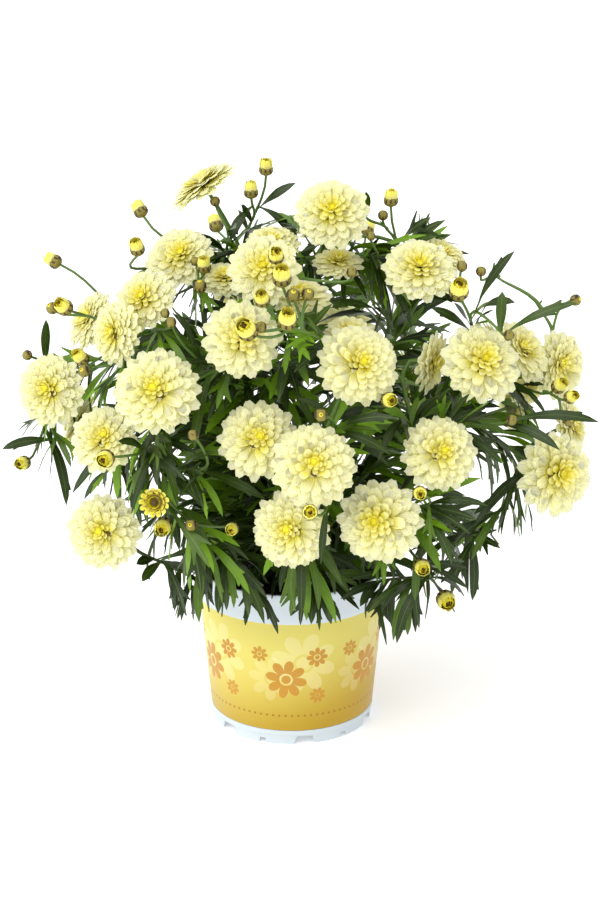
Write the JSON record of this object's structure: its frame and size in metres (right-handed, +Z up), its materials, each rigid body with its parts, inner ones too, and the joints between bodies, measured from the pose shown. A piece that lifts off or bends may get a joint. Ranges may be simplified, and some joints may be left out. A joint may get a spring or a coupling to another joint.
{
  "type": "potted marguerite daisy",
  "caption": "Bushy marguerite daisy with cream-yellow double blooms on leafy stems, growing in a white round plastic pot with a golden sleeve and a notched foot.",
  "frame": {"origin": "on the ground under the middle of the plant, on the pot's axis", "axes": "+Z up along the pot's axis, -Y towards the side that the picture shows"},
  "size_m": [0.3898, 0.3861, 0.3934],
  "materials": {
    "white_plastic": "smooth, semi-matt",
    "printed_sleeve": "satin print",
    "potting_mix": "rough, damp and crumbly",
    "foliage": "matt green leaf",
    "petals": "soft matt petal"
  },
  "bodies": {
    "root": {"pot": "white_plastic", "sleeve": "printed_sleeve", "soil": "potting_mix", "bloom_01": "petals", "bloom_02": "petals", "bloom_03": "petals", "bloom_04": "petals", "bloom_05": "petals", "bloom_06": "petals", "bloom_07": "petals", "bloom_08": "petals", "bloom_09": "petals", "bloom_10": "petals", "bloom_11": "petals", "bloom_12": "petals", "bloom_13": "petals", "bloom_14": "petals", "bloom_15": "petals", "bloom_16": "petals", "bloom_17": "petals", "bloom_18": "petals", "bloom_19": "petals", "bloom_20": "petals", "bloom_21": "petals", "bloom_22": "petals", "bloom_23": "petals", "bloom_24": "petals", "bloom_25": "petals", "bloom_26": "petals", "bloom_27": "petals", "bloom_28": "petals", "bloom_29": "petals", "bloom_30": "petals", "bloom_31": "petals", "bloom_32": "petals", "bloom_33": "petals", "bloom_34": "petals", "bloom_35": "petals", "bloom_36": "petals", "bloom_37": "petals", "bloom_38": "petals", "bloom_39": "petals", "bloom_40": "petals", "bloom_41": "petals", "bloom_42": "petals", "bloom_43": "petals", "bloom_44": "petals", "bloom_45": "petals", "bloom_46": "petals", "leafy_stem_01": "foliage", "leafy_stem_02": "foliage", "leafy_stem_03": "foliage", "leafy_stem_04": "foliage", "leafy_stem_05": "foliage", "leafy_stem_06": "foliage", "leafy_stem_07": "foliage", "leafy_stem_08": "foliage", "leafy_stem_09": "foliage", "leafy_stem_10": "foliage", "leafy_stem_11": "foliage"}
  },
  "joints": []
}
